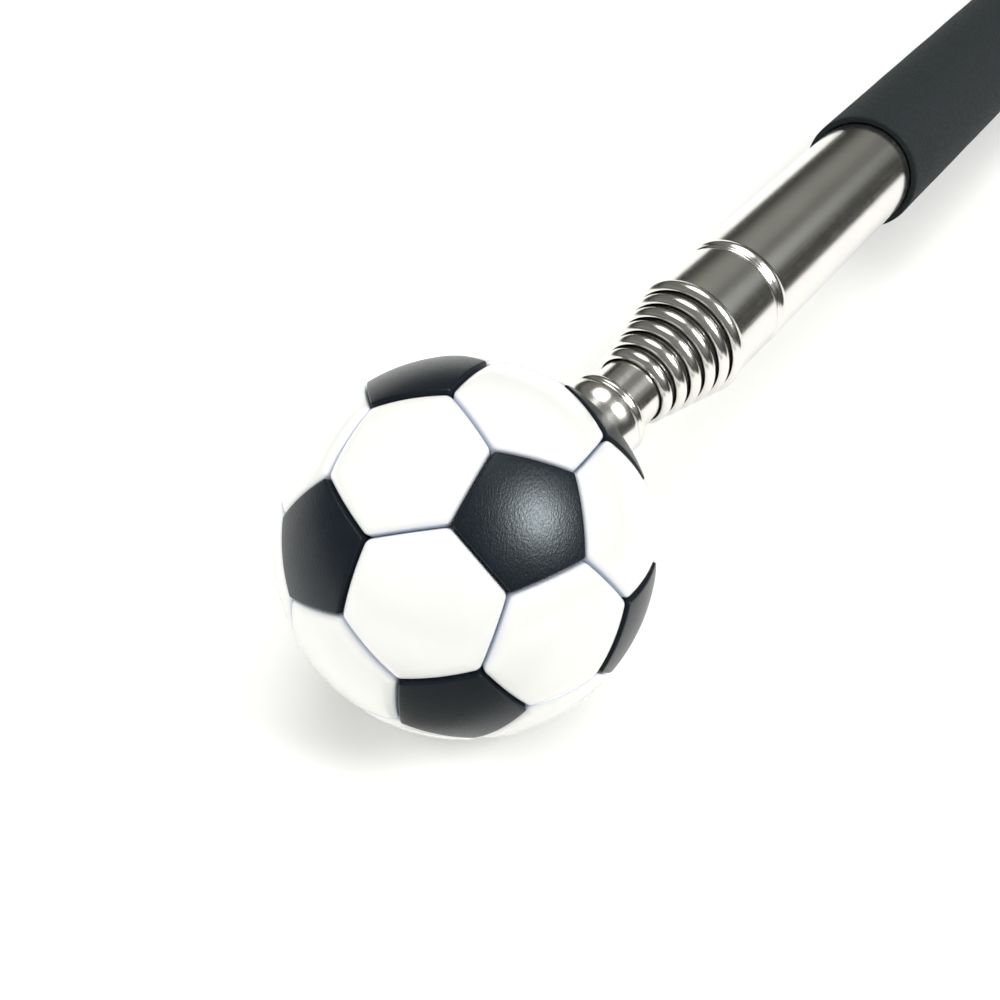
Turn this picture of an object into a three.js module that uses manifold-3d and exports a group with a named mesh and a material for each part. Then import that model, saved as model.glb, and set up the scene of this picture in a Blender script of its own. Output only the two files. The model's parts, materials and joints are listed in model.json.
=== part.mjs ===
// Telescopic magnetic pickup tool: a panelled ball that holds the magnet, on the
// innermost of seven chromed sections that slide into a handle with a foam grip.
//
// Everything is drawn along one axis, which starts at the ball's centre and runs
// through the handle. The whole tool is then tilted so that it lies on a table on
// the ball and on the rim of the end cap. Millimetres, +Z up, handle towards +X.

import * as THREE from 'three';
import { mergeVertices } from 'three/addons/utils/BufferGeometryUtils.js';
import Module from 'manifold-3d';

const wasm = await Module();
wasm.setup();

// ---------------------------------------------------------------- dimensions

const FACETS = 20;             // sides of every turned part
const ASSEMBLY_GAP = 0.3;      // clear space between neighbouring pieces

// ball
const BALL_RADIUS = 16;
const PANEL_INNER_RADIUS = 14.75;
const CORE_OUTER_RADIUS = 14.3;
const CORE_WALL = 1.2;
const GROOVE_WIDTH = 0.3;
const PANEL_EDGE_DROP = 0.35;  // how far a white panel's edge is rounded down
const INLAY_EDGE_DROP = 0.12;
const PANEL_SIDE_STEPS = 3;
const PATTERN_ROLL = THREE.MathUtils.degToRad(91.5);

// magnet, at the end of the ball that faces away from the handle
const MAGNET_RADIUS = 5.5;
const MAGNET_FRONT = -10.8;
const MAGNET_LENGTH = 4;
const CUP_WALL = 1;
const SOCKET_WALL = 1;

// neck between the ball and the rod
const FERRULE_RADIUS = 4.35;
const FERRULE_FRONT = 11.9;
const FERRULE_SHOULDER = 19.7;
const FERRULE_REAR = 20.9;
const INSERT_RADIUS = 6;
const INSERT_FRONT = 6.5;
const INSERT_REAR = 11.5;
const STUD_RADIUS = 2.5;
const STUD_FRONT = 7;
const STUD_REAR = 21;

// sections: number 1 is the inner rod, number 7 is the handle tube
const SECTIONS = 7;
const INNER_ROD_DIAMETER = 6.8;
const HANDLE_TUBE_DIAMETER = 12.4;
const DIAMETER_STEP = (HANDLE_TUBE_DIAMETER - INNER_ROD_DIAMETER) / (SECTIONS - 1);
const WALL = 0.34;
const FIRST_LIP = 25.3;        // crest of the lip on section 2
const LIP_PITCH = 1.8;
const LIP_RISE = 0.28;
const LIP_HALF_WIDTH = 0.72;
const LIP_CLEARANCE = 0.08;
const INNER_ROD_FRONT = 12.6;
const INNER_ROD_REAR = 128;
const REAR_PITCH = 10.4;       // each section ends this far behind the one inside it
const SWAGE_LENGTH = 9.2;
const SWAGE_DEPTH = 0.25;
const BUSH_CLEARANCE = 0.05;

// handle
const HANDLE_REAR = 190;
const BEAD_CENTRE = 42.6;
const BEAD_RISE = 0.12;
const GROOVE_DEPTH = 0.16;
const GRIP_FRONT = 73;
const GRIP_REAR = 183.6;
const GRIP_RADIUS = 7;
const GRIP_BORE = 6.45;
const CAP_FRONT = 184;
const CAP_REAR = 193;
const CAP_RADIUS = 7.1;
const CAP_CHAMFER = 0.6;
const PLUG_RADIUS = 5.4;
const PLUG_FRONT = 182.5;

// ----------------------------------------------------------------- materials

const FINISHES = {
  whitePlastic: { color: 0xf4f4f2, roughness: 0.22, metalness: 0 },
  blackPlastic: { color: 0x1c2024, roughness: 0.42, metalness: 0 },
  chrome: { color: 0xc9cacb, roughness: 0.08, metalness: 1 },
  steel: { color: 0x9a9da0, roughness: 0.35, metalness: 1 },
  brass: { color: 0xb8924a, roughness: 0.35, metalness: 1 },
  foam: { color: 0x2b3135, roughness: 0.85, metalness: 0 },
};

const tool = new THREE.Group();
const axisGroup = new THREE.Group();
tool.add(axisGroup);

function addPart(name, geometry, finish) {
  const mesh = new THREE.Mesh(geometry, new THREE.MeshStandardMaterial(FINISHES[finish]));
  mesh.name = name;
  axisGroup.add(mesh);
  return mesh;
}

// ------------------------------------------------------------- turned pieces

// Turns a closed outline of [radius, distance along the axis] points about the axis.
// The outline runs up the outside and back down the inside.
function turned(outline) {
  const points = outline.map(([radius, along]) => new THREE.Vector2(radius, along));
  const onAxis = outline[0][0] === 0 && outline[outline.length - 1][0] === 0;
  if (!onAxis) {
    points.push(points[0].clone());
  }
  return new THREE.LatheGeometry(points, FACETS).rotateX(Math.PI / 2);
}

function ring(outerRadius, innerRadius, front, rear) {
  return turned([
    [innerRadius, front],
    [outerRadius, front],
    [outerRadius, rear],
    [innerRadius, rear],
  ]);
}

// Points of an arc about the origin, from one distance along the axis to another.
function arcPoints(radius, fromAlong, toAlong, steps) {
  const start = Math.asin(fromAlong / radius);
  const end = Math.asin(toAlong / radius);
  const points = [];
  for (let i = 0; i <= steps; i += 1) {
    const angle = start + ((end - start) * i) / steps;
    points.push([radius * Math.cos(angle), radius * Math.sin(angle)]);
  }
  return points;
}

// ---------------------------------------------------------------- ball panels

// The twelve corners of an icosahedron that has a face square to the axis.
function inlayCentres() {
  const nearPolar = Math.acos(Math.sqrt((5 + 2 * Math.sqrt(5)) / 15));
  const middlePolar = Math.acos(Math.sqrt((5 - 2 * Math.sqrt(5)) / 15));
  const rows = [
    [nearPolar, 0],
    [middlePolar, Math.PI],
    [Math.PI - middlePolar, 0],
    [Math.PI - nearPolar, Math.PI],
  ];
  const centres = [];
  for (const [polar, turn] of rows) {
    for (let i = 0; i < 3; i += 1) {
      const azimuth = PATTERN_ROLL + turn + (i * 2 * Math.PI) / 3;
      centres.push(new THREE.Vector3().setFromSphericalCoords(1, polar, azimuth));
    }
  }
  // setFromSphericalCoords measures from +Y; the tool's axis is +Z
  return centres.map((v) => new THREE.Vector3(v.z, v.x, v.y));
}

// The pole-side faces come first, so panel 1 is the one that the ferrule passes through.
function panelFaces(centres) {
  const edge = 1.2;
  const faces = [];
  for (let i = 0; i < 12; i += 1) {
    for (let j = i + 1; j < 12; j += 1) {
      for (let k = j + 1; k < 12; k += 1) {
        const near = [[i, j], [j, k], [i, k]].every(([a, b]) => centres[a].distanceTo(centres[b]) < edge);
        if (near) {
          faces.push([centres[i], centres[j], centres[k]]);
        }
      }
    }
  }
  const height = (face) => face.reduce((sum, corner) => sum + corner.z, 0);
  return faces.sort((a, b) => height(b) - height(a));
}

// Corners of a football panel lie a third of the way along the icosahedron's edges.
function edgeThird(from, to) {
  return from.clone().multiplyScalar(2).add(to).normalize();
}

function sortedAround(points, centre) {
  const reference = points[0].clone().sub(centre).projectOnPlane(centre).normalize();
  const side = new THREE.Vector3().crossVectors(centre, reference);
  const angle = (p) => Math.atan2(p.dot(side), p.dot(reference));
  return [...points].sort((a, b) => angle(a) - angle(b));
}

// Moves each side of a spherical polygon inwards by the same angle.
function insetCorners(corners, angle) {
  const count = corners.length;
  const normals = corners.map((corner, i) => (
    new THREE.Vector3().crossVectors(corner, corners[(i + 1) % count]).normalize()
  ));
  return corners.map((corner, i) => {
    const sum = normals[i].clone().add(normals[(i + count - 1) % count]);
    const scale = Math.sin(angle) / (1 + normals[i].dot(normals[(i + count - 1) % count]));
    const inward = sum.multiplyScalar(scale);
    const along = Math.sqrt(1 - inward.lengthSq());
    return corner.clone().multiplyScalar(along).add(inward);
  });
}

function slerp(a, b, t) {
  const angle = a.angleTo(b);
  const result = a.clone().multiplyScalar(Math.sin((1 - t) * angle));
  return result.addScaledVector(b, Math.sin(t * angle)).divideScalar(Math.sin(angle));
}

// A closed tile between two spheres. Its outer edge is lower than its crown.
function tileGeometry(rawCorners, centre, edgeDrop) {
  const corners = insetCorners(sortedAround(rawCorners, centre), GROOVE_WIDTH / 2 / BALL_RADIUS);
  const border = [];
  corners.forEach((corner, i) => {
    const next = corners[(i + 1) % corners.length];
    for (let step = 0; step < PANEL_SIDE_STEPS; step += 1) {
      border.push(slerp(corner, next, step / PANEL_SIDE_STEPS));
    }
  });
  const shoulder = 0.8;
  const innerMiddle = 0.55;
  const layers = [
    { reach: innerMiddle, radius: PANEL_INNER_RADIUS },
    { reach: 1, radius: PANEL_INNER_RADIUS },
    { reach: 1, radius: BALL_RADIUS - edgeDrop },
    { reach: shoulder, radius: BALL_RADIUS },
  ];
  const positions = [];
  const indices = [];
  const count = border.length;
  const push = (v) => positions.push(v.x, v.y, v.z);
  for (const { reach, radius } of layers) {
    border.forEach((point) => push(slerp(centre, point, reach).multiplyScalar(radius)));
  }
  const innerCentre = layers.length * count;
  const outerCentre = innerCentre + 1;
  push(centre.clone().multiplyScalar(PANEL_INNER_RADIUS));
  push(centre.clone().multiplyScalar(BALL_RADIUS));
  for (let i = 0; i < count; i += 1) {
    const j = (i + 1) % count;
    indices.push(innerCentre, j, i);
    for (let layer = 0; layer + 1 < layers.length; layer += 1) {
      const low = layer * count;
      const high = low + count;
      indices.push(low + i, low + j, high + j);
      indices.push(low + i, high + j, high + i);
    }
    const top = (layers.length - 1) * count;
    indices.push(outerCentre, top + i, top + j);
  }
  const geometry = new THREE.BufferGeometry();
  geometry.setAttribute('position', new THREE.Float32BufferAttribute(positions, 3));
  geometry.setIndex(indices);
  return geometry;
}

// ------------------------------------------------------------------ booleans

function toSolid(geometry) {
  const bare = geometry.clone();
  bare.deleteAttribute('normal');
  bare.deleteAttribute('uv');
  const merged = mergeVertices(bare, 1e-4);
  const mesh = new wasm.Mesh({
    numProp: 3,
    vertProperties: Float32Array.from(merged.attributes.position.array),
    triVerts: Uint32Array.from(merged.index.array),
  });
  return new wasm.Manifold(mesh);
}

function toGeometry(solid) {
  const mesh = solid.getMesh();
  const geometry = new THREE.BufferGeometry();
  geometry.setAttribute('position', new THREE.Float32BufferAttribute(mesh.vertProperties, 3));
  geometry.setIndex(Array.from(mesh.triVerts));
  return geometry;
}

function cutRoundHole(geometry, radius) {
  const drill = new THREE.CylinderGeometry(radius, radius, BALL_RADIUS, FACETS);
  drill.rotateX(Math.PI / 2).translate(0, 0, BALL_RADIUS);
  return toGeometry(toSolid(geometry).subtract(toSolid(drill)));
}

// ---------------------------------------------------------------------- ball

function addTiles() {
  const centres = inlayCentres();
  const isNeighbour = (a, b) => a !== b && a.distanceTo(b) < 1.2;
  centres.forEach((centre, i) => {
    const corners = centres.filter((other) => isNeighbour(centre, other)).map((other) => edgeThird(centre, other));
    const label = String(i + 1).padStart(2, '0');
    addPart(`black_inlay_${label}`, tileGeometry(corners, centre, INLAY_EDGE_DROP), 'blackPlastic');
  });
  panelFaces(centres).forEach((face, i) => {
    const middle = face[0].clone().add(face[1]).add(face[2]).normalize();
    const corners = face.flatMap((a) => face.filter((b) => b !== a).map((b) => edgeThird(a, b)));
    let geometry = tileGeometry(corners, middle, PANEL_EDGE_DROP);
    if (i === 0) {
      geometry = cutRoundHole(geometry, FERRULE_RADIUS + ASSEMBLY_GAP);
    }
    addPart(`white_panel_${String(i + 1).padStart(2, '0')}`, geometry, 'whitePlastic');
  });
}

function addCore() {
  const steps = 7;
  const innerRadius = CORE_OUTER_RADIUS - CORE_WALL;
  const split = ASSEMBLY_GAP / 2;
  const holeRadius = FERRULE_RADIUS + ASSEMBLY_GAP;
  const outerHole = Math.sqrt(CORE_OUTER_RADIUS ** 2 - holeRadius ** 2);
  const innerHole = Math.sqrt(innerRadius ** 2 - holeRadius ** 2);
  const rear = [
    ...arcPoints(CORE_OUTER_RADIUS, split, outerHole, steps),
    ...arcPoints(innerRadius, innerHole, split, steps),
  ];
  const front = [
    ...arcPoints(CORE_OUTER_RADIUS, -CORE_OUTER_RADIUS, -split, steps),
    ...arcPoints(innerRadius, -split, -innerRadius, steps),
  ];
  front[0][0] = 0;
  front[front.length - 1][0] = 0;
  addPart('core_shell_rear', turned(rear), 'whitePlastic');
  addPart('core_shell_front', turned(front), 'whitePlastic');
}

function addMagnet() {
  const rear = MAGNET_FRONT + MAGNET_LENGTH;
  const cupInner = MAGNET_RADIUS + ASSEMBLY_GAP;
  const cupOuter = cupInner + CUP_WALL;
  const cupFloor = rear + ASSEMBLY_GAP;
  const cupRear = cupFloor + CUP_WALL;
  addPart('magnet', turned([[0, MAGNET_FRONT], [MAGNET_RADIUS, MAGNET_FRONT], [MAGNET_RADIUS, rear], [0, rear]]), 'steel');
  addPart('magnet_cup', turned([
    [0, cupFloor],
    [cupInner, cupFloor],
    [cupInner, MAGNET_FRONT],
    [cupOuter, MAGNET_FRONT],
    [cupOuter, cupRear],
    [0, cupRear],
  ]), 'steel');
  const socketInner = cupOuter + ASSEMBLY_GAP;
  addPart('magnet_socket', ring(socketInner + SOCKET_WALL, socketInner, MAGNET_FRONT + 0.9, cupRear), 'whitePlastic');
}

// ---------------------------------------------------------------------- neck

function addNeck() {
  const studHole = STUD_RADIUS + ASSEMBLY_GAP;
  addPart('head_insert', ring(INSERT_RADIUS, studHole, INSERT_FRONT, INSERT_REAR), 'brass');
  addPart('stud', turned([
    [0, STUD_FRONT],
    [STUD_RADIUS, STUD_FRONT],
    [STUD_RADIUS, STUD_REAR],
    [0, STUD_REAR],
  ]), 'steel');
  const bore = INNER_ROD_DIAMETER / 2 + 0.1;
  const shoulderDrop = (FERRULE_RADIUS - bore) * 0.4;
  addPart('ferrule', turned([
    [bore, FERRULE_FRONT],
    [FERRULE_RADIUS, FERRULE_FRONT],
    [FERRULE_RADIUS, FERRULE_SHOULDER],
    [FERRULE_RADIUS - shoulderDrop, (FERRULE_SHOULDER + FERRULE_REAR) / 2],
    [bore + 0.15, FERRULE_REAR],
    [bore, FERRULE_REAR],
  ]), 'chrome');
}

// ------------------------------------------------------------------ sections

function sectionRadius(number) {
  return (INNER_ROD_DIAMETER + DIAMETER_STEP * (number - 1)) / 2;
}

function sectionRear(number) {
  return INNER_ROD_REAR + REAR_PITCH * (number - 1);
}

function lipCrest(number) {
  return FIRST_LIP + LIP_PITCH * (number - 2);
}

// Outer and inner outline of the swaged end that carries the friction bush.
function swagedEnd(radius, rear) {
  const start = rear - SWAGE_LENGTH;
  const small = radius - SWAGE_DEPTH;
  return {
    outer: [
      [radius, start - 0.5],
      [small, start],
      [small, rear - 0.8],
      [radius, rear - 0.4],
      [radius, rear],
    ],
    inner: [
      [small - WALL, rear],
      [small - WALL, start],
      [radius - WALL, start - 0.5],
    ],
  };
}

// The rolled lip at the front of a tube, with a mouth that closes on the section inside.
function rolledLip(number) {
  const radius = sectionRadius(number);
  const mouth = sectionRadius(number - 1) + LIP_CLEARANCE;
  const crest = lipCrest(number);
  const crestRadius = radius + LIP_RISE;
  return {
    outer: [
      [mouth, crest - LIP_HALF_WIDTH],
      [crestRadius - 0.3, crest - LIP_HALF_WIDTH],
      [crestRadius, crest - 0.35],
      [crestRadius, crest + 0.25],
      [radius, crest + LIP_HALF_WIDTH],
    ],
    inner: [
      [radius - WALL, crest + 0.6],
      [mouth, crest + 0.2],
    ],
  };
}

function addSections() {
  const rodRadius = sectionRadius(1);
  const rodEnd = swagedEnd(rodRadius, sectionRear(1));
  addPart('inner_rod', turned([
    [rodRadius - WALL, INNER_ROD_FRONT],
    [rodRadius, INNER_ROD_FRONT],
    ...rodEnd.outer,
    ...rodEnd.inner,
  ]), 'chrome');
  for (let number = 2; number < SECTIONS; number += 1) {
    const lip = rolledLip(number);
    const end = swagedEnd(sectionRadius(number), sectionRear(number));
    const outline = [...lip.outer, ...end.outer, ...end.inner, ...lip.inner];
    addPart(`tube_${number}`, turned(outline), 'chrome');
  }
  for (let number = 1; number < SECTIONS; number += 1) {
    const outer = sectionRadius(number + 1) - WALL - BUSH_CLEARANCE;
    const inner = sectionRadius(number) - SWAGE_DEPTH + BUSH_CLEARANCE;
    const rear = sectionRear(number) - 1;
    addPart(`friction_bush_${number}`, ring(outer, inner, rear - SWAGE_LENGTH + 1.2, rear), 'brass');
  }
}

// -------------------------------------------------------------------- handle

function addHandle() {
  const radius = sectionRadius(SECTIONS);
  const lip = rolledLip(SECTIONS);
  addPart('handle_tube', turned([
    ...lip.outer,
    [radius, BEAD_CENTRE - 1.2],
    [radius - GROOVE_DEPTH, BEAD_CENTRE - 0.8],
    [radius + BEAD_RISE, BEAD_CENTRE - 0.4],
    [radius + BEAD_RISE, BEAD_CENTRE + 0.4],
    [radius, BEAD_CENTRE + 1],
    [radius, HANDLE_REAR],
    [radius - WALL, HANDLE_REAR],
    ...lip.inner,
  ]), 'chrome');
  addPart('foam_grip', ring(GRIP_RADIUS, GRIP_BORE, GRIP_FRONT, GRIP_REAR), 'foam');
  const plugInner = 2.5;
  addPart('rear_plug', ring(PLUG_RADIUS, plugInner, PLUG_FRONT, HANDLE_REAR), 'blackPlastic');
  addPart('end_cap', turned([
    [0, HANDLE_REAR + ASSEMBLY_GAP],
    [GRIP_BORE, HANDLE_REAR + ASSEMBLY_GAP],
    [GRIP_BORE, CAP_FRONT],
    [CAP_RADIUS, CAP_FRONT],
    [CAP_RADIUS, CAP_REAR - CAP_CHAMFER],
    [CAP_RADIUS - CAP_CHAMFER, CAP_REAR],
    [0, CAP_REAR],
  ]), 'blackPlastic');
}

// ------------------------------------------------------------------ assembly

addTiles();
addCore();
addMagnet();
addNeck();
addSections();
addHandle();

// Lay the tool down: the ball and the cap's rim touch the table together.
const incline = Math.asin(BALL_RADIUS / Math.hypot(CAP_REAR, CAP_RADIUS)) - Math.atan2(CAP_RADIUS, CAP_REAR);
axisGroup.rotation.y = Math.PI / 2 + incline;

// The origin is under the middle of the tool, on the table.
tool.updateMatrixWorld(true);
const box = new THREE.Box3().setFromObject(axisGroup, true);
const middle = box.getCenter(new THREE.Vector3());
axisGroup.position.set(-middle.x, -middle.y, -box.min.z);

export default tool;
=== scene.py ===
"""Telescopic pickup tool: a panelled ball on the innermost of seven chromed sections.

Every piece is drawn about the tool's own axis, in millimetres. The local origin is the
ball's centre and local +Z runs towards the handle. PLACE carries that frame into the
CAD model's frame, in metres.
"""

import json
import math

import bmesh
import bpy
from mathutils import Matrix, Vector, noise


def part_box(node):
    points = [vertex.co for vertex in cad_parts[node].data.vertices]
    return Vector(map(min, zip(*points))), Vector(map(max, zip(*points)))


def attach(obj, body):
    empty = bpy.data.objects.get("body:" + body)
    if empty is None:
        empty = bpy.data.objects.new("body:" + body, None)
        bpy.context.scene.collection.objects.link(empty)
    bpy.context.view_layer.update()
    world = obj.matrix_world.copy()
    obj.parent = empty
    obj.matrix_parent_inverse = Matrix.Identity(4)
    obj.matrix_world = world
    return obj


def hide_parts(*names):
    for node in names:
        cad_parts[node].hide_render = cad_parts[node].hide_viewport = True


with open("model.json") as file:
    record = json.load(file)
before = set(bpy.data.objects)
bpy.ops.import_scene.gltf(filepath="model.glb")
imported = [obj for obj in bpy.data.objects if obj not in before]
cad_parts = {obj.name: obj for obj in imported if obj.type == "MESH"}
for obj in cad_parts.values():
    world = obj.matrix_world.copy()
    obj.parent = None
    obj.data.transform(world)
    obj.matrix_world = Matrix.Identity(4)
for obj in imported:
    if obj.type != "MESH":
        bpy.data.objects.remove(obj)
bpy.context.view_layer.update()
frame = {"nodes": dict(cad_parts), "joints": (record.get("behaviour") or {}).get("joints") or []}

MM = 0.001
SAME_POINT = 1e-6              # metres
ON_AXIS = 1e-6                 # millimetres

# ---------------------------------------------------------------- dimensions (mm)

BALL_RADIUS = 15.95
TILE_FLOOR = 14.75             # radius of a tile's underside
GROOVE_WIDTH = 0.3
SEAM_GAP = 0.06                # width left at the bottom of the V groove
GROOVE_WALL = 0.42             # how far below the rounded edge the groove's lower wall starts
GROOVE_LIP = 0.16              # and its upper wall
GROOVE_FLARE = 0.4             # share of the foot's offset left at the upper wall
CROWN_SHARES = (0.9, 0.75, 0.6, 0.45, 0.3, 0.15)   # rings of a tile, as shares of its size
INLAY_EDGE = (0.25, 0.2, 0.12) # corner rounding, then width and drop of the edge's rounding
PANEL_EDGE = (0.75, 1.25, 0.4)
NECK_HOLE_GAP = 0.06           # between the ferrule and the panel round it
NECK_HOLE_EDGE = (0.02, 0.16)  # how deep the hole's chamfer starts and ends
NECK_HOLE_FLARE = 0.006        # how much narrower the hole gets there, in ball radii
PATTERN_ROLL = math.radians(91.5)
GRAIN_TURN = math.radians(-39) # swings the inlays' grain away from the tool's axis

FERRULE_RADIUS = 4.35
FERRULE_WAIST = 4.2
FERRULE_FRONT = 11.9
FERRULE_COLLAR = 18.4          # middle of the step up to the collar
FERRULE_STEP_HALF = 0.7
FERRULE_GROOVE = 19.75
FERRULE_GROOVE_HALF = 0.4
FERRULE_GROOVE_DEPTH = 0.13
FERRULE_REAR = 20.9
FERRULE_EDGE = (0.75, 0.7)     # rounding of the rear edge, across and along
FERRULE_GAP = 0.04             # between its bore and the rod

SECTIONS = 7
INNER_ROD_RADIUS = 3.4
HANDLE_TUBE_RADIUS = 6.2
RADIUS_STEP = (HANDLE_TUBE_RADIUS - INNER_ROD_RADIUS) / (SECTIONS - 1)
WALL = 0.34
FIRST_LIP = 25.3
LIP_PITCH = 1.8
LIP_RISE = 0.28
LIP_FRONT = 0.85               # from the crest to the front of the roll
LIP_BACK = 0.7                 # from the crest to the plain tube
LIP_MOUTH = 0.72               # share of LIP_FRONT where the roll meets the mouth
LIP_INSIDE = (0.6, 0.2)        # where the crimp starts and ends behind the crest
LIP_CLEARANCE = 0.08
INNER_ROD_FRONT = 12.6
INNER_ROD_REAR = 128
REAR_PITCH = 10.4
SWAGE_LENGTH = 9.2
SWAGE_DEPTH = 0.25
SWAGE_TAPER = 0.5
SWAGE_RIM = 0.4                # width of the full-size rim, and of the taper up to it

HANDLE_REAR = 190
BEAD_CENTRE = 42.4             # where the groove ends and the bead begins
BEAD_RISE = 0.12
BEAD_HALF = 0.6
GROOVE_DEPTH = 0.14
GROOVE_HALF = 0.4
GRIP_FRONT = 73
GRIP_REAR = 183.6
GRIP_RADIUS = 7.0
GRIP_BORE = 6.28
GRIP_RIM = 0.3                 # rounding of the sleeve's outer edges
GRIP_BORE_RIM = 0.12
GRIP_STATIONS = 90
GRIP_SINK = 0.04               # keeps the lumps inside the sleeve's radius
GRIP_LUMPS = ((0.22, 0.035), (0.9, 0.012))   # lumps to a millimetre, and their height
CAP_FRONT = 184
CAP_REAR = 193
CAP_RADIUS = 7.08
CAP_NECK = 6.45
CAP_GAP = 0.3                  # between the tube's end and the cap's floor
CAP_GROOVE = (186.6, 186.9, 187.5, 187.8)
CAP_GROOVE_DEPTH = 0.28
CAP_DISH = (4.4, 4.1, 0.3)     # radius at the top and the floor of the dish, and its depth

SECTION_SIDES = 96
HANDLE_SIDES = 128

# -------------------------------------------------------------------- the frame


def tool_axis():
    """Unit vector from the ball to the handle: against the way the sections slide out."""
    slide = next(j for j in frame["joints"] if j["name"] == "slide_1")
    return -Vector(slide["axis"]).normalized()


def ball_centre():
    """Middle of the black inlays' box. They lie in opposite pairs, so it is the ball's centre."""
    boxes = [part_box(name) for name in frame["nodes"] if name.startswith("black_inlay")]
    low = [min(lo[i] for lo, hi in boxes) for i in range(3)]
    high = [max(hi[i] for lo, hi in boxes) for i in range(3)]
    return (Vector(low) + Vector(high)) / 2


def tool_frame():
    """Matrix from the tool's own axes to the CAD model's frame."""
    z = tool_axis()
    y = Vector((0, 1, 0))
    x = y.cross(z)
    turn = Matrix((x, y, z)).transposed().to_4x4()
    return Matrix.Translation(ball_centre()) @ turn


PLACE = tool_frame()

# ------------------------------------------------------------------ mesh helpers


def add_piece(name, mesh, body, finish, replaced, sharp=38):
    """Moves a mesh drawn about the tool's own axis to its place, with its body and finish.

    Edges that turn by more than sharp degrees are shaded sharp."""
    mesh.transform(PLACE)
    piece = bpy.data.objects.new(name, mesh)
    bpy.context.scene.collection.objects.link(piece)
    mesh.shade_smooth()
    mesh.set_sharp_from_angle(angle=math.radians(sharp))
    mesh.materials.append(finish)
    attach(piece, body)
    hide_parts(*replaced)
    return piece


def closed_mesh(name, points, faces):
    """Mesh from points in millimetres, with its faces turned outwards."""
    mesh = bpy.data.meshes.new(name)
    mesh.from_pydata([[c * MM for c in p] for p in points], [], faces)
    bm = bmesh.new()
    bm.from_mesh(mesh)
    bmesh.ops.remove_doubles(bm, verts=bm.verts, dist=SAME_POINT)
    bmesh.ops.recalc_face_normals(bm, faces=bm.faces)
    bm.to_mesh(mesh)
    bm.free()
    mesh.validate()
    return mesh


def rounded(corners, steps=6):
    """Closed outline through [radius, along, rounding] corners, each one rounded."""
    outline = []
    count = len(corners)
    for i, (radius, along, rounding) in enumerate(corners):
        here = Vector((radius, along))
        if rounding == 0:
            outline.append((radius, along))
            continue
        before = Vector(corners[i - 1][:2]) - here
        after = Vector(corners[(i + 1) % count][:2]) - here
        start = here + before.normalized() * min(rounding, before.length * 0.49)
        end = here + after.normalized() * min(rounding, after.length * 0.49)
        for step in range(steps + 1):
            u = step / steps
            point = start * (1 - u) ** 2 + here * 2 * u * (1 - u) + end * u ** 2
            outline.append((point.x, point.y))
    return outline


def turned_mesh(name, outline, segments):
    """Turns a closed outline of (radius, along) points about the tool's axis."""
    points = []
    rows = []
    for radius, along in outline:
        if radius < ON_AXIS:
            rows.append([len(points)] * segments)
            points.append((0, 0, along))
            continue
        rows.append([len(points) + k for k in range(segments)])
        for k in range(segments):
            angle = 2 * math.pi * k / segments
            points.append((radius * math.cos(angle), radius * math.sin(angle), along))
    faces = []
    for i, row in enumerate(rows):
        following = rows[(i + 1) % len(rows)]
        for k in range(segments):
            n = (k + 1) % segments
            loop = []
            for index in (row[k], row[n], following[n], following[k]):
                if index not in loop:
                    loop.append(index)
            if len(loop) > 2:
                faces.append(loop)
    return closed_mesh(name, points, faces)


# ------------------------------------------------------------- material helpers


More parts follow.
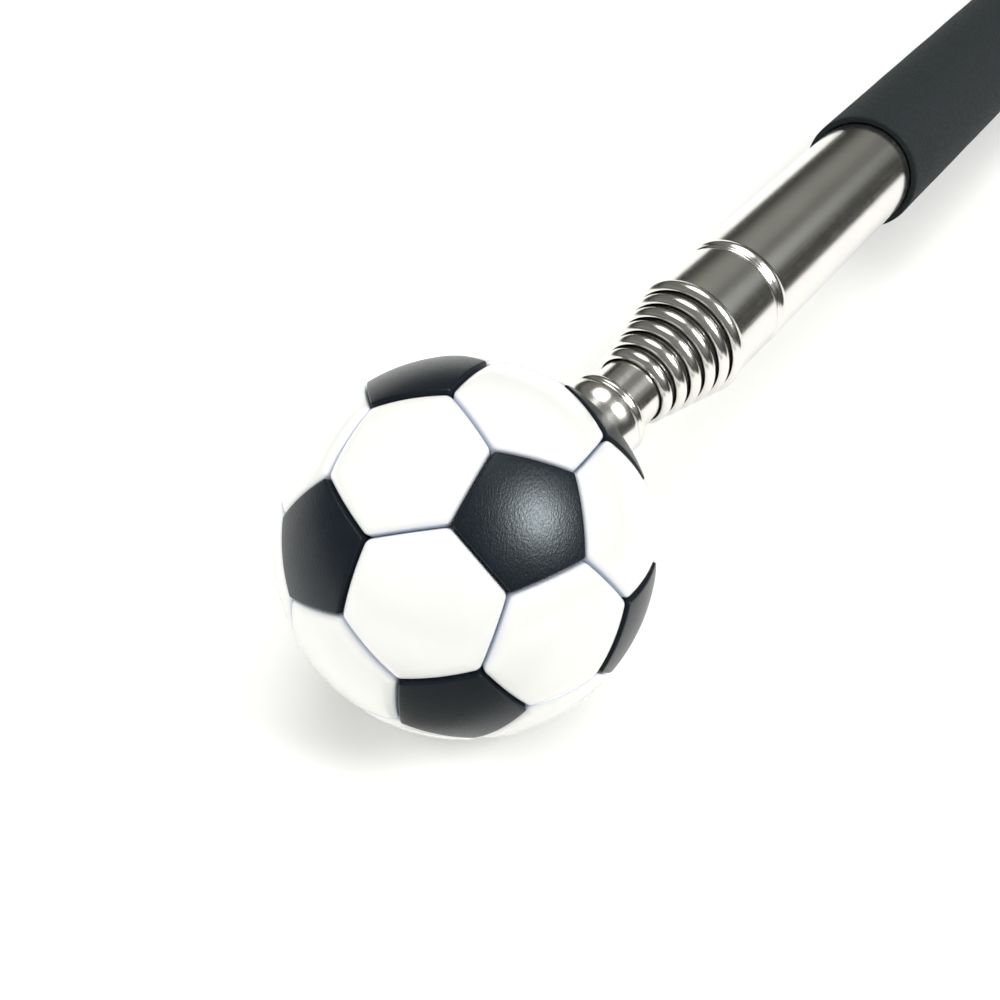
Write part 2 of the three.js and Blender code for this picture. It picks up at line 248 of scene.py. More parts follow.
class Finish:
    """A material under construction, with short calls for the nodes it needs."""

    def __init__(self, name, **constants):
        self.material = bpy.data.materials.new(name)
        self.material.use_nodes = True
        self.tree = self.material.node_tree
        self.shader = self.tree.nodes["Principled BSDF"]
        for socket, value in constants.items():
            self.shader.inputs[socket.replace("_", " ")].default_value = value

    def node(self, kind, **settings):
        made = self.tree.nodes.new(kind)
        for key, value in settings.items():
            setattr(made, key, value)
        return made

    def join(self, source, target):
        self.tree.links.new(source, target)

    def place(self, scale=(1, 1, 1), turn=0.0):
        """Coordinates about the tool's own axis, in millimetres times scale.

        turn swings the axes about local X first, in radians."""
        coordinates = self.node("ShaderNodeTexCoord")
        mapping = self.node("ShaderNodeMapping", vector_type="TEXTURE")
        mapping.inputs["Location"].default_value = PLACE.translation
        swung = PLACE.to_3x3() @ Matrix.Rotation(turn, 3, "X")
        mapping.inputs["Rotation"].default_value = swung.to_euler()
        mapping.inputs["Scale"].default_value = [MM / s for s in scale]
        self.join(coordinates.outputs["Object"], mapping.inputs["Vector"])
        return mapping.outputs["Vector"]

    def cloud(self, scale, detail, stretch=(1, 1, 1)):
        """Noise with that many features to a millimetre."""
        texture = self.node("ShaderNodeTexNoise")
        texture.inputs["Scale"].default_value = scale
        texture.inputs["Detail"].default_value = detail
        self.join(self.place(stretch), texture.inputs["Vector"])
        return texture.outputs["Fac"]

    def cells(self, scale, feature="F1", stretch=(1, 1, 1), turn=0.0):
        """Distance to the nearest of scattered points, that many to a millimetre."""
        texture = self.node("ShaderNodeTexVoronoi", feature=feature)
        texture.inputs["Scale"].default_value = scale
        self.join(self.place(stretch, turn), texture.inputs["Vector"])
        return texture.outputs["Distance"]

    def spread(self, source, low, high, from_low=0.25, from_high=0.75):
        """Maps a texture's range onto low to high."""
        spread = self.node("ShaderNodeMapRange", interpolation_type="SMOOTHSTEP")
        spread.inputs["From Min"].default_value = from_low
        spread.inputs["From Max"].default_value = from_high
        spread.inputs["To Min"].default_value = low
        spread.inputs["To Max"].default_value = high
        self.join(source, spread.inputs["Value"])
        return spread.outputs["Result"]

    def blend(self, factor, first, second):
        """Colour between two, by factor. Either may be a colour or another node's output."""
        mix = self.node("ShaderNodeMix", data_type="RGBA")
        self.join(factor, mix.inputs["Factor"])
        for value, index in ((first, 6), (second, 7)):
            if isinstance(value, tuple):
                mix.inputs[index].default_value = (*value, 1)
            else:
                self.join(value, mix.inputs[index])
        return mix.outputs[2]

    def product(self, first, second):
        """One output times another."""
        times = self.node("ShaderNodeMath", operation="MULTIPLY")
        self.join(first, times.inputs[0])
        self.join(second, times.inputs[1])
        return times.outputs["Value"]

    def depth(self):
        """Distance from the ball's centre, in millimetres."""
        length = self.node("ShaderNodeVectorMath", operation="LENGTH")
        self.join(self.place(), length.inputs[0])
        return length.outputs["Value"]

    def mottle(self, scale, detail, first, second):
        """Drifts the base colour between two, over noise with that many patches to a millimetre."""
        self.colour(self.blend(self.spread(self.cloud(scale, detail), 0, 1), first, second))

    def colour(self, source):
        self.join(source, self.shader.inputs["Base Color"])

    def roughness(self, source):
        self.join(source, self.shader.inputs["Roughness"])

    def bump(self, *layers):
        """Each layer is a height from 0 to 1 and how high that is, in millimetres."""
        normal = None
        for height, rise in layers:
            bump = self.node("ShaderNodeBump")
            bump.inputs["Strength"].default_value = 1.0
            bump.inputs["Distance"].default_value = rise * MM
            self.join(height, bump.inputs["Height"])
            if normal is not None:
                self.join(normal, bump.inputs["Normal"])
            normal = bump.outputs["Normal"]
        self.join(normal, self.shader.inputs["Normal"])


# --------------------------------------------------------------------- materials


def white_plastic():
    """Glossy moulded white, with painted shade: a cooler, darker colour is painted down the rounded
    edges and into the grooves.
    """
    f = Finish("white_panel_plastic", Coat_Weight=0.35, Coat_Roughness=0.08, IOR=1.49)
    patches = f.spread(f.cloud(0.11, 3), 0, 1)
    tone = f.blend(patches, (0.675, 0.675, 0.655), (0.655, 0.655, 0.635))
    # painted shade: the colour darkens by depth below the crown, over the rounded edge and into the
    # groove
    groove_shade = f.spread(f.depth(), 1, 0, BALL_RADIUS - 0.5, BALL_RADIUS - 0.03)
    f.colour(f.blend(groove_shade, tone, (0.54, 0.58, 0.66)))
    f.roughness(f.spread(f.cloud(1.3, 4), 0.2, 0.28, 0.1, 0.9))
    f.bump((f.cloud(0.7, 2), 0.003), (f.cloud(5.0, 2), 0.0003))
    return f.material


def black_plastic():
    """Satin black with a fine moulded leather grain."""
    f = Finish("black_inlay_plastic", IOR=1.45, Specular_IOR_Level=0.27)
    f.shader.inputs["Specular Tint"].default_value = (0.86, 0.97, 1.0, 1.0)
    f.mottle(0.3, 4, (0.0036, 0.0054, 0.0088), (0.0052, 0.0076, 0.0118))
    f.roughness(f.spread(f.cloud(5.5, 3), 0.3, 0.38))
    grain = f.cells(8.0, "SMOOTH_F1", (1, 1, 0.4), GRAIN_TURN)
    f.bump((f.cloud(1.1, 2), 0.004), (grain, 0.011), (f.cloud(11.0, 3), 0.004))
    return f.material


def chrome():
    """Bright plate over drawn tube: faint lines along the tube and a few polishing marks."""
    f = Finish("bright_chrome", Metallic=1.0)
    lines = f.cloud(1.0, 3, (7, 7, 0.05))
    marks = f.cloud(1.0, 2, (1.2, 1.2, 9))
    f.mottle(0.16, 3, (0.73, 0.715, 0.685), (0.68, 0.67, 0.645))
    f.roughness(f.spread(f.product(lines, marks), 0.15, 0.22, 0.1, 0.45))
    f.bump((lines, 0.0005), (marks, 0.00015))
    return f.material


def foam():
    """Dark closed-cell foam: fine open pores in a matt skin, over a slightly lumpy sleeve. The pores'
    pits are painted darker, as painted shade.
    """
    f = Finish("grip_foam_rubber", Specular_IOR_Level=0.12, Sheen_Weight=0.02, Sheen_Roughness=0.5)
    pore_pits_and_shade = f.spread(f.cells(5.2), 0, 1, 0.1, 0.55)
    # painted shade: the colour darkens towards the pits of the pores
    f.colour(f.blend(pore_pits_and_shade, (0.006, 0.0085, 0.0098), (0.0125, 0.0168, 0.0185)))
    f.roughness(f.spread(f.cloud(3.0, 3), 0.68, 0.9))
    f.bump((f.cloud(0.35, 3), 0.05), (pore_pits_and_shade, 0.035), (f.cloud(9.0, 3), 0.02))
    return f.material


def cap_plastic():
    """Black moulded plastic with a spark-eroded texture."""
    f = Finish("cap_black_plastic", IOR=1.49)
    f.mottle(0.4, 3, (0.017, 0.018, 0.020), (0.026, 0.027, 0.029))
    f.roughness(f.spread(f.cloud(2.5, 4), 0.36, 0.55))
    f.bump((f.cloud(7.0, 3), 0.018), (f.cloud(0.8, 2), 0.008))
    return f.material


def core_plastic():
    """Unpainted white moulding, hidden inside the ball."""
    f = Finish("core_white_plastic", IOR=1.49)
    f.mottle(0.2, 3, (0.62, 0.63, 0.64), (0.54, 0.55, 0.56))
    f.roughness(f.spread(f.cloud(1.5, 3), 0.4, 0.55))
    f.bump((f.cloud(2.0, 3), 0.01))
    return f.material


def metal(name, light, dark, low, high, grain):
    """Plated or bare metal with a fine surface grain, for the inner pieces."""
    f = Finish(name, Metallic=1.0)
    f.mottle(0.5, 4, light, dark)
    f.roughness(f.spread(f.cloud(2.0, 4), low, high))
    f.bump((f.cloud(grain, 3), 0.004))
    return f.material


# ------------------------------------------------------------------- ball tiles


def inlay_centres():
    """Corners of an icosahedron that has a face square to the axis."""
    high = math.acos(math.sqrt((5 + 2 * math.sqrt(5)) / 15))
    middle = math.acos(math.sqrt((5 - 2 * math.sqrt(5)) / 15))
    rows = ((high, 0), (middle, math.pi), (math.pi - middle, 0), (math.pi - high, math.pi))
    centres = []
    for polar, turn in rows:
        for i in range(3):
            azimuth = PATTERN_ROLL + turn + i * 2 * math.pi / 3
            side = math.sin(polar)
            x = side * math.cos(azimuth)
            y = side * math.sin(azimuth)
            centres.append(Vector((x, y, math.cos(polar))))
    return centres


def are_neighbours(a, b):
    """True for two corners of the unit icosahedron on one edge, which is 1.05 long."""
    return 0.1 < (a - b).length < 1.2


def faces_of(centres):
    """The icosahedron's triangles, each with a white hexagon at its middle."""
    found = []
    for i, a in enumerate(centres):
        for j in range(i + 1, len(centres)):
            for k in range(j + 1, len(centres)):
                b, c = centres[j], centres[k]
                if are_neighbours(a, b) and are_neighbours(b, c) and are_neighbours(a, c):
                    found.append((a, b, c))
    return found


def edge_third(a, b):
    """Direction of the seam corner a third of the way from a to b."""
    return (a * 2 + b).normalized()


def flat_polygon(corners, centre):
    """Corners seen from the ball's centre on the plane that touches the tile's middle."""
    east = centre.orthogonal().normalized()
    north = centre.cross(east)
    flat = []
    for corner in corners:
        ray = corner / corner.dot(centre)
        flat.append(Vector((ray.dot(east), ray.dot(north))))
    flat.sort(key=lambda p: math.atan2(p.y, p.x))
    return flat, east, north


def shrink(polygon, distance):
    """Moves each side of a convex polygon, in counter-clockwise order, inwards."""
    moved = []
    count = len(polygon)
    for i, point in enumerate(polygon):
        before = (point - polygon[i - 1]).normalized()
        after = (polygon[(i + 1) % count] - point).normalized()
        normal_before = Vector((-before.y, before.x))
        normal_after = Vector((-after.y, after.x))
        total = normal_before + normal_after
        moved.append(point + total * (distance / (1 + normal_before.dot(normal_after))))
    return moved


def outline_rays(polygon, corner_steps, side_steps):
    """Base points and outward directions round a polygon, for outlines at any offset."""
    rays = []
    count = len(polygon)
    for i, point in enumerate(polygon):
        after_point = polygon[(i + 1) % count]
        before = (point - polygon[i - 1]).normalized()
        after = (after_point - point).normalized()
        start = math.atan2(-before.x, before.y)
        turn = (math.atan2(-after.x, after.y) - start) % (2 * math.pi)
        for step in range(corner_steps + 1):
            angle = start + turn * step / corner_steps
            rays.append((point, Vector((math.cos(angle), math.sin(angle)))))
        outward = Vector((after.y, -after.x))
        for step in range(1, side_steps):
            rays.append((point.lerp(after_point, step / side_steps), outward))
    return rays


class Tile:
    """One tile of the ball, built up in rows of points from its underside to its crown."""

    def __init__(self, corners, centre, edge):
        """edge is the corner rounding, then the width and drop of the edge's rounding."""
        self.corner_radius, self.edge_width, self.edge_drop = (v / BALL_RADIUS for v in edge)
        flat, self.east, self.north = flat_polygon(corners, centre)
        self.centre = centre
        self.gap = GROOVE_WIDTH / 2 / BALL_RADIUS
        self.seat = shrink(flat, self.gap + self.corner_radius)
        self.rays = outline_rays(self.seat, corner_steps=6, side_steps=12)
        self.points = []
        self.rows = []

    def add_row(self, spots, radius):
        """Lifts spots on the plane that touches the tile's middle to a sphere."""
        start = len(self.points)
        for spot in spots:
            ray = self.centre + self.east * spot.x + self.north * spot.y
            self.points.append(ray.normalized() * radius)
        self.rows.append(range(start, len(self.points)))

    def outline(self, offset):
        """The tile's own outline moved out by offset."""
        reach = self.corner_radius + offset
        return [base + outward * reach for base, outward in self.rays]

    def drawn_in(self, share, hole_reach):
        """The seat drawn in towards the middle, or towards the hole's edge."""
        if not hole_reach:
            return [base * share for base, outward in self.rays]
        rim = hole_reach * (1 - share)
        return [base.normalized() * rim + base * share for base, outward in self.rays]

    def add_groove_wall(self):
        """The tile's side, from the underside up to the rounded edge's foot."""
        foot = self.gap - SEAM_GAP / 2 / BALL_RADIUS
        edge_foot = BALL_RADIUS - self.edge_drop * BALL_RADIUS
        self.add_row(self.outline(foot), TILE_FLOOR)
        self.add_row(self.outline(foot), edge_foot - GROOVE_WALL)
        self.add_row(self.outline(foot * GROOVE_FLARE), edge_foot - GROOVE_LIP)

    def add_rounded_edge(self, hole_reach):
        """Quarter of an ellipse from the groove wall over to the crown."""
        steps = 7
        for step in range(steps + 1):
            angle = math.pi / 2 * step / steps
            inward = self.edge_width * (1 - math.cos(angle))
            radius = BALL_RADIUS - self.edge_drop * BALL_RADIUS * (1 - math.sin(angle))
            if inward <= self.corner_radius:
                self.add_row(self.outline(-inward), radius)
                continue
            share = 1 - (inward - self.corner_radius) / self.seat[0].length
            reach = hole_reach if share < CROWN_SHARES[0] else 0
            self.add_row(self.drawn_in(share, reach), radius)

    def add_hole_wall(self, top_reach, floor_reach):
        """The hole's chamfer and wall, from the crown down to the underside."""
        start, end = NECK_HOLE_EDGE
        self.add_row(self.drawn_in(0, top_reach), BALL_RADIUS - start)
        self.add_row(self.drawn_in(0, top_reach - NECK_HOLE_FLARE), BALL_RADIUS - end)
        self.add_row(self.drawn_in(0, floor_reach), TILE_FLOOR)

    def faces(self, has_hole):
        """Quads between rows. The first and last rows close to a middle point or on each other."""
        count = len(self.rays)
        faces = []
        bands = len(self.rows) if has_hole else len(self.rows) - 1
        for level in range(bands):
            low = self.rows[level]
            high = self.rows[(level + 1) % len(self.rows)]
            for k in range(count):
                n = (k + 1) % count
                faces.append((low[k], low[n], high[n], high[k]))
        if has_hole:
            return faces
        for row, radius in ((self.rows[0], TILE_FLOOR), (self.rows[-1], BALL_RADIUS)):
            middle = len(self.points)
            self.points.append(self.centre * radius)
            for k in range(count):
                faces.append((row[k], row[(k + 1) % count], middle))
        return faces


def tile_mesh(name, corners, centre, edge, hole=None):
    """A closed tile: crown, rounded edge, V groove wall, underside and, if hole is its
    radius, a round hole through the middle."""
    tile = Tile(corners, centre, edge)
    top_reach = math.tan(math.asin(hole / BALL_RADIUS)) if hole else 0
    floor_reach = math.tan(math.asin(hole / TILE_FLOOR)) if hole else 0
    for share in reversed(CROWN_SHARES):
        tile.add_row(tile.drawn_in(share, floor_reach), TILE_FLOOR)
    tile.add_groove_wall()
    tile.add_rounded_edge(top_reach)
    for share in CROWN_SHARES:
        tile.add_row(tile.drawn_in(share, top_reach), BALL_RADIUS)
    if hole:
        tile.add_hole_wall(top_reach, floor_reach)
    faces = tile.faces(hole is not None)
    return closed_mesh(name, tile.points, faces)


def matching_node(prefix, direction):
    """The CAD tile whose box lies closest to that direction from the ball's centre."""
    spot = PLACE @ (direction * BALL_RADIUS * MM)
    names = [name for name in frame["nodes"] if name.startswith(prefix)]

    def gap(name):
        low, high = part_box(name)
        return ((low + high) / 2 - spot).length

    return min(names, key=gap)


def build_ball(white, black):
    centres = inlay_centres()
    for centre in centres:
        node = matching_node("black_inlay", centre)
        corners = [edge_third(centre, other) for other in centres if are_neighbours(centre, other)]
        mesh = tile_mesh("ball_" + node, corners, centre, INLAY_EDGE)
        add_piece("ball_" + node, mesh, "head", black, [node])
    for face in faces_of(centres):
        middle = (face[0] + face[1] + face[2]).normalized()
        node = matching_node("white_panel", middle)
        corners = [edge_third(a, b) for a in face for b in face if a is not b]
        is_on_axis = middle.z > 0.99
        hole = FERRULE_RADIUS + NECK_HOLE_GAP if is_on_axis else None
        mesh = tile_mesh("ball_" + node, corners, middle, PANEL_EDGE, hole)
        add_piece("ball_" + node, mesh, "head", white, [node])


# ----------------------------------------------------------------- turned pieces


def section_radius(number):
    return INNER_ROD_RADIUS + RADIUS_STEP * (number - 1)


def section_rear(number):
    return INNER_ROD_REAR + REAR_PITCH * (number - 1)


def lip_crest(number):
    return FIRST_LIP + LIP_PITCH * (number - 2)


def lip_outline(number):
    """The rolled lip's outside, from the mouth over the crest to the tube."""
    radius = section_radius(number)
    mouth = section_radius(number - 1) + LIP_CLEARANCE
    crest = lip_crest(number)
    top = radius + LIP_RISE
    height = top - mouth
    steps = 10
    outline = [(mouth, crest - LIP_FRONT * LIP_MOUTH)]
    for step in range(1, steps + 1):
        angle = math.pi / 2 * step / steps
        outline.append((mouth + height * math.sin(angle), crest - LIP_FRONT * math.cos(angle)))
    for step in range(1, steps + 1):
        share = step / steps
        outline.append((radius + LIP_RISE * hump(share), crest + LIP_BACK * share))
    return outline


def lip_inside(number):
    """The bore's crimp down to the mouth, from behind the crest to the front."""
    radius = section_radius(number)
    mouth = section_radius(number - 1) + LIP_CLEARANCE
    crest = lip_crest(number)
    start, end = LIP_INSIDE
    return [(radius - WALL, crest + start), (mouth, crest + end)]


def swage_outline(number):
    """Outside then inside of the narrowed end that carries the friction bush."""
    radius = section_radius(number)
    rear = section_rear(number)
    small = radius - SWAGE_DEPTH
    start = rear - SWAGE_LENGTH
    return [
        (radius, start - SWAGE_TAPER),
        (small, start),
        (small, rear - 2 * SWAGE_RIM),
        (radius, rear - SWAGE_RIM),
        (radius, rear),
        (small - WALL, rear),
        (small - WALL, start),
        (radius - WALL, start - SWAGE_TAPER),
    ]


def half_wave(share):
    """Smooth rise from 0 to 1 as share goes from 0 to 1."""
    return (1 - math.cos(math.pi * share)) / 2


def hump(share):
    """Smooth hump: 1 in the middle, where share is 0, and 0 at -1 and 1."""
    return (1 + math.cos(math.pi * share)) / 2


def build_neck(finish):
    """Ferrule: a waist, a smooth step up to a grooved collar and a rounded rear edge."""
    bore = INNER_ROD_RADIUS + FERRULE_GAP
    outline = [(bore, FERRULE_FRONT), (FERRULE_WAIST, FERRULE_FRONT)]
    steps = 10
    for i in range(steps + 1):
        share = i / steps
        rise = (FERRULE_RADIUS - FERRULE_WAIST) * half_wave(share)
        along = FERRULE_COLLAR + FERRULE_STEP_HALF * (2 * share - 1)
        outline.append((FERRULE_WAIST + rise, along))
    for i in range(steps + 1):
        share = 2 * i / steps - 1
        dip = FERRULE_GROOVE_DEPTH * hump(share)
        outline.append((FERRULE_RADIUS - dip, FERRULE_GROOVE + FERRULE_GROOVE_HALF * share))
    across, deep = FERRULE_EDGE
    edge_steps = 8
    for i in range(1, edge_steps + 1):
        angle = math.pi / 2 * i / edge_steps
        radius = FERRULE_RADIUS - across * (1 - math.cos(angle))
        outline.append((radius, FERRULE_REAR - deep * (1 - math.sin(angle))))
    outline.append((bore, FERRULE_REAR))
    mesh = turned_mesh("neck_ferrule", outline, SECTION_SIDES)
    add_piece("neck_ferrule", mesh, "head", finish, ["ferrule"])


def build_sections(finish):
    rod = [(INNER_ROD_RADIUS - WALL, INNER_ROD_FRONT), (INNER_ROD_RADIUS, INNER_ROD_FRONT)]
    mesh = turned_mesh("section_1_rod", rod + swage_outline(1), SECTION_SIDES)
    add_piece("section_1_rod", mesh, "head", finish, ["inner_rod"], sharp=25)
    for number in range(2, SECTIONS):
        outline = lip_outline(number) + swage_outline(number) + lip_inside(number)
        name = f"section_{number}_tube"
        mesh = turned_mesh(name, outline, SECTION_SIDES)
        add_piece(name, mesh, f"section_{number}", finish, [f"tube_{number}"], sharp=25)


def bead_outline(radius):
    """A narrow groove with a raised bead behind it."""
    outline = []
    steps = 14
    for i in range(steps):
        share = 2 * i / steps - 1
        outline.append((radius - GROOVE_DEPTH * hump(share), BEAD_CENTRE + GROOVE_HALF * (share - 1)))
    for i in range(steps + 1):
        share = 2 * i / steps - 1
        outline.append((radius + BEAD_RISE * hump(share), BEAD_CENTRE + BEAD_HALF * (share + 1)))
    return outline


def build_handle(finish, grip_finish, cap_finish):
    radius = HANDLE_TUBE_RADIUS
    rear = [(radius, HANDLE_REAR), (radius - WALL, HANDLE_REAR)]
    outline = lip_outline(SECTIONS) + bead_outline(radius) + rear + lip_inside(SECTIONS)
    name = "section_7_handle_tube"
    mesh = turned_mesh(name, outline, HANDLE_SIDES)
    add_piece(name, mesh, "handle", finish, ["handle_tube"], sharp=25)
    build_grip(grip_finish)
    build_cap(cap_finish)


def build_grip(finish):
    """Foam sleeve with soft rims and a slightly uneven surface."""
    corners = rounded([
        (GRIP_BORE, GRIP_FRONT, GRIP_BORE_RIM),
        (GRIP_RADIUS, GRIP_FRONT, GRIP_RIM),
        (GRIP_RADIUS, GRIP_REAR, GRIP_RIM),
        (GRIP_BORE, GRIP_REAR, GRIP_BORE_RIM),
    ])
    half = len(corners) // 2
    start = corners[half - 1][1]
    length = corners[half][1] - start
    body = [(GRIP_RADIUS, start + length * i / GRIP_STATIONS) for i in range(1, GRIP_STATIONS)]
    mesh = turned_mesh("foam_sleeve", corners[:half] + body + corners[half:], HANDLE_SIDES)
    for vertex in mesh.vertices:
        spot = vertex.co / MM
        reach = math.hypot(spot.x, spot.y)
        if reach < GRIP_BORE + GRIP_RIM:
            continue
        lump = sum(noise.noise(spot * pitch) * height for pitch, height in GRIP_LUMPS)
        outward = Vector((spot.x, spot.y, 0)) / reach
        vertex.co += outward * (lump - GRIP_SINK) * MM
    piece = add_piece("foam_sleeve", mesh, "handle", finish, ["foam_grip"], sharp=60)


def build_cap(finish):
    """Cap with a groove round its skirt and a shallow dish in its end."""
    floor = HANDLE_REAR + CAP_GAP
    groove = CAP_RADIUS - CAP_GROOVE_DEPTH
    dish_top, dish_floor, dish_depth = CAP_DISH
    outline = rounded([
        (0, floor, 0),
        (CAP_NECK, floor, 0),
        (CAP_NECK, CAP_FRONT, 0.1),
        (CAP_RADIUS, CAP_FRONT, 0.35),
        (CAP_RADIUS, CAP_GROOVE[0], 0.15),
        (groove, CAP_GROOVE[1], 0.12),
        (groove, CAP_GROOVE[2], 0.12),
        (CAP_RADIUS, CAP_GROOVE[3], 0.15),
        (CAP_RADIUS, CAP_REAR, 0.9),
        (dish_top, CAP_REAR, 0.15),
        (dish_floor, CAP_REAR - dish_depth, 0.15),
        (0, CAP_REAR - dish_depth, 0),
    ], steps=5)
    mesh = turned_mesh("rear_cap", outline, HANDLE_SIDES)
    add_piece("rear_cap", mesh, "handle", finish, ["end_cap"], sharp=50)


# ------------------------------------------------------------------ inner pieces


def finish_inner_nodes():
    """The CAD pieces that keep their own shape get their finishes here."""
    core = core_plastic()
    nickel = metal("magnet_nickel_plate", (0.66, 0.65, 0.62), (0.56, 0.55, 0.53), 0.16, 0.3, 6)
    zinc = metal("zinc_plated_steel", (0.56, 0.57, 0.59), (0.44, 0.45, 0.47), 0.3, 0.48, 8)
    brass = metal("turned_brass", (0.72, 0.56, 0.3), (0.6, 0.45, 0.22), 0.28, 0.42, 8)
    cap = cap_plastic()
    finishes = {
        "core_shell_rear": core,
        "core_shell_front": core,
        "magnet_socket": core,
        "magnet": nickel,
        "magnet_cup": zinc,
        "stud": zinc,
        "head_insert": brass,
        "rear_plug": cap,
    }
    for number in range(1, SECTIONS):
        finishes[f"friction_bush_{number}"] = brass
    for name, finish in finishes.items():
        node = frame["nodes"][name]
        if not node.material_slots:
            node.data.materials.append(finish)
        for place in node.material_slots:
            place.material = finish
    return cap


# ------------------------------------------------------------------------- stage

CAMERA_OFFSET = Vector((-37.084, -33.724, 71.904)) * MM   # from the ball's centre
CAMERA_HEADING = 39.04         # degrees from +X, seen from above
CAMERA_PITCH = 52.64           # degrees below the horizon
CAMERA_LENS = 37.37
FLOOR_HALF = 12                # metres


def build_camera():
    data = bpy.data.cameras.new("camera")
    data.lens = CAMERA_LENS
    data.sensor_width = 36
    data.clip_start = 0.005
    camera = bpy.data.objects.new("camera", data)
    bpy.context.scene.collection.objects.link(camera)
    camera.location = ball_centre() + CAMERA_OFFSET
    heading = math.radians(CAMERA_HEADING - 90)
    camera.rotation_euler = (math.radians(90 - CAMERA_PITCH), 0, heading)
    bpy.context.scene.camera = camera


def add_sheet(name, edges, height, finish):
    """A flat sheet for the stage. edges are left, near, right and far, in metres."""
    x0, y0, x1, y1 = edges
    mesh = bpy.data.meshes.new(name)
    corners = [(x0, y0, height), (x1, y0, height), (x1, y1, height), (x0, y1, height)]
    mesh.from_pydata(corners, [], [(0, 1, 2, 3)])
    mesh.materials.append(finish)
    sheet = bpy.data.objects.new(name, mesh)
    bpy.context.scene.collection.objects.link(sheet)
    return sheet


def build_floor():
    f = Finish("floor_paper", Roughness=0.85, Specular_IOR_Level=0.0)
    f.mottle(0.05, 3, (0.87, 0.87, 0.855), (0.85, 0.85, 0.835))
    half = FLOOR_HALF
    add_sheet("floor", (-half, -half, half, half), 0, f.material)


# Soft boxes: direction they stand in, half-angle of the bright core and of the edge, radiance
SOFT_BOXES = (
    ((0.34, 0.24, 0.91), 15, 21, (3.2, 3.2, 3.15)),
    ((0.31, -0.58, 0.75), 8, 13, (18.0, 18.0, 18.0)),
    ((0.76, -0.39, 0.51), 3, 15, (0.2, 0.21, 0.22)),
    ((0.76, 0.26, 0.60), 4, 20, (0.1, 0.1, 0.09)),
)
ROOM_LOW = (0.05, 0.05, 0.043)
ROOM_HIGH = (0.19, 0.19, 0.17)
CAMERA_SIDE = (0.25, 0.25, 0.24)
BACKDROP = (0.93, 0.93, 0.925)
LAMP_DISTANCE = 1.0            # metres
FILL_SIZE = 1.4
FILLS = (                      # direction and watts
    ((0.1, -0.95, 0.5), 2.2),
    ((-0.75, -0.4, 0.6), 2.2),
    ((-0.7, 0.6, 0.52), 7.5),
    ((0.0, 0.0, 1.0), 5.2),
)
GLINT_DIRECTION = (0.26, -0.65, 0.71)
GLINT_SIZE = 0.36
GLINT_POWER = 13.5

# Sheets on the table that paint shade into reflections: left, near, right and far edges in metres,
# and how light the sheet is
REFLECTION_SHADE_HEIGHT = 0.0002           # metres above the table
REFLECTION_SHADE_SHEETS = {
    "reflection_shade_beside": ((-0.02, -3.0, 4.0, -0.07), 0.0225),
    "reflection_shade_front": ((-0.16, -0.15, -0.105, -0.004), 0.32),
}


class Sky(Finish):
    """The studio round the object, drawn as a function of direction."""

    def __init__(self):
        world = bpy.data.worlds.new("studio")
        bpy.context.scene.world = world
        world.use_nodes = True
        self.tree = world.node_tree
        self.background = self.tree.nodes["Background"]
        coordinates = self.node("ShaderNodeTexCoord")
        unit = self.node("ShaderNodeVectorMath", operation="NORMALIZE")
        self.join(coordinates.outputs["Generated"], unit.inputs[0])
        self.direction = unit.outputs["Vector"]

    def towards(self, direction):
        """Cosine of the angle between the ray and that direction."""
        dot = self.node("ShaderNodeVectorMath", operation="DOT_PRODUCT")
        self.join(self.direction, dot.inputs[0])
        dot.inputs[1].default_value = Vector(direction).normalized()
        return dot.outputs["Value"]

    def add(self, first, second):
        mix = self.node("ShaderNodeMix", data_type="RGBA", blend_type="ADD")
        mix.inputs["Factor"].default_value = 1
        self.join(first, mix.inputs[6])
        self.join(second, mix.inputs[7])
        return mix.outputs[2]


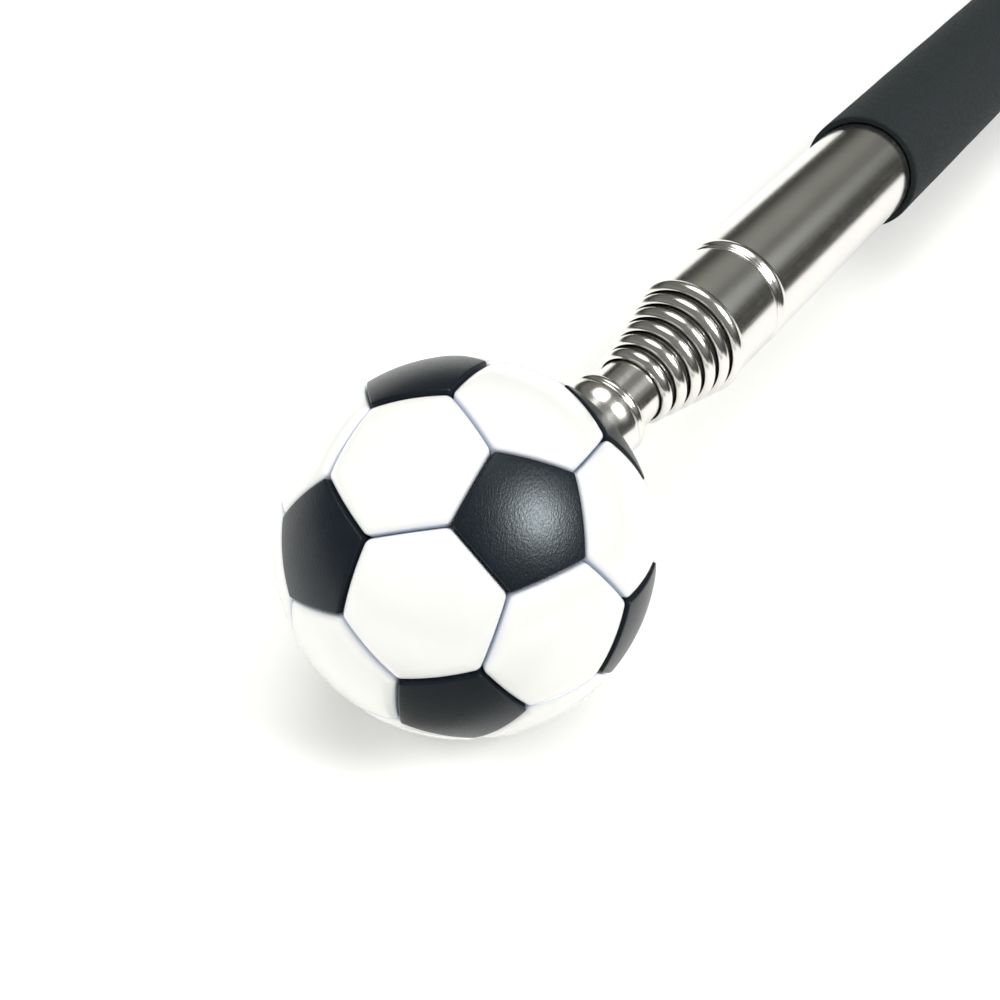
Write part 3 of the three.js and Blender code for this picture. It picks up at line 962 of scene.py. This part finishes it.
def build_light():
    """The world: a dim room, its side behind the camera, the soft boxes and a pale backdrop."""
    sky = Sky()
    height = sky.towards((0, 0, 1))
    light = sky.blend(sky.spread(height, 0, 1, 0.18, 0.42), ROOM_LOW, ROOM_HIGH)
    behind = sky.spread(sky.towards((-1, 0, 0)), 0, 1, 0.0, 0.5)
    above = sky.spread(height, 0, 1, 0.05, 0.35)
    light = sky.blend(sky.product(behind, above), light, CAMERA_SIDE)
    for direction, core, edge, radiance in SOFT_BOXES:
        edge_cosine = math.cos(math.radians(edge))
        core_cosine = math.cos(math.radians(core))
        glow = sky.spread(sky.towards(direction), 0, 1, edge_cosine, core_cosine)
        light = sky.add(light, sky.blend(glow, (0.0, 0.0, 0.0), radiance))
    path = sky.node("ShaderNodeLightPath")
    seen = sky.blend(path.outputs["Is Camera Ray"], light, BACKDROP)
    sky.join(seen, sky.background.inputs["Color"])


def add_lamp(name, direction, size, power):
    """A round lamp a metre from the ball, facing it, that the camera doesn't see."""
    lamp = bpy.data.lights.new(name, "AREA")
    lamp.shape = "DISK"
    lamp.size = size
    lamp.energy = power
    holder = bpy.data.objects.new(name, lamp)
    bpy.context.scene.collection.objects.link(holder)
    offset = Vector(direction).normalized() * LAMP_DISTANCE
    holder.location = ball_centre() + offset
    holder.rotation_euler = offset.to_track_quat("Z", "Y").to_euler()
    holder.visible_camera = False
    return holder


def build_lamps():
    """Broad fills that mirrors don't see, and a small lamp that only mirrors see."""
    for number, (direction, power) in enumerate(FILLS):
        add_lamp(f"fill_{number}", direction, FILL_SIZE, power).visible_glossy = False
    glint = add_lamp("glint", GLINT_DIRECTION, GLINT_SIZE, GLINT_POWER)
    glint.visible_diffuse = False
    glint.data.cycles.max_bounces = 1


def reflection_shade_finish(name, lightness):
    """Matt dark finish for a sheet of painted shade, a little mottled about that lightness."""
    f = Finish(name + "_painted_shade", Roughness=1.0, Specular_IOR_Level=0.0)
    dark = (lightness * 0.9, lightness * 0.9, lightness * 0.81)
    light = (lightness * 1.1, lightness * 1.1, lightness * 0.99)
    f.mottle(0.05, 3, dark, light)
    return f.material


def build_reflection_shade():
    """Sheets on the table that only mirrors see: painted shade in the reflections of the white table
    there.
    """
    for name, (edges, lightness) in REFLECTION_SHADE_SHEETS.items():
        # painted shade: a dark sheet that only reflections see
        shade_sheet = add_sheet(name, edges, REFLECTION_SHADE_HEIGHT, reflection_shade_finish(name, lightness))
        shade_sheet.visible_camera = False
        shade_sheet.visible_diffuse = False
        shade_sheet.visible_shadow = False
        shade_sheet.visible_transmission = False


def build_view():
    """Plain display transform, so that colours come out as they are set."""
    settings = bpy.context.scene.view_settings
    settings.view_transform = "Standard"
    settings.look = "None"
    settings.exposure = 0


build_camera()
build_floor()
build_light()
build_lamps()
build_reflection_shade()
build_view()
bright = chrome()
build_ball(white_plastic(), black_plastic())
build_neck(bright)
build_sections(bright)
cap_finish = finish_inner_nodes()
build_handle(bright, foam(), cap_finish)
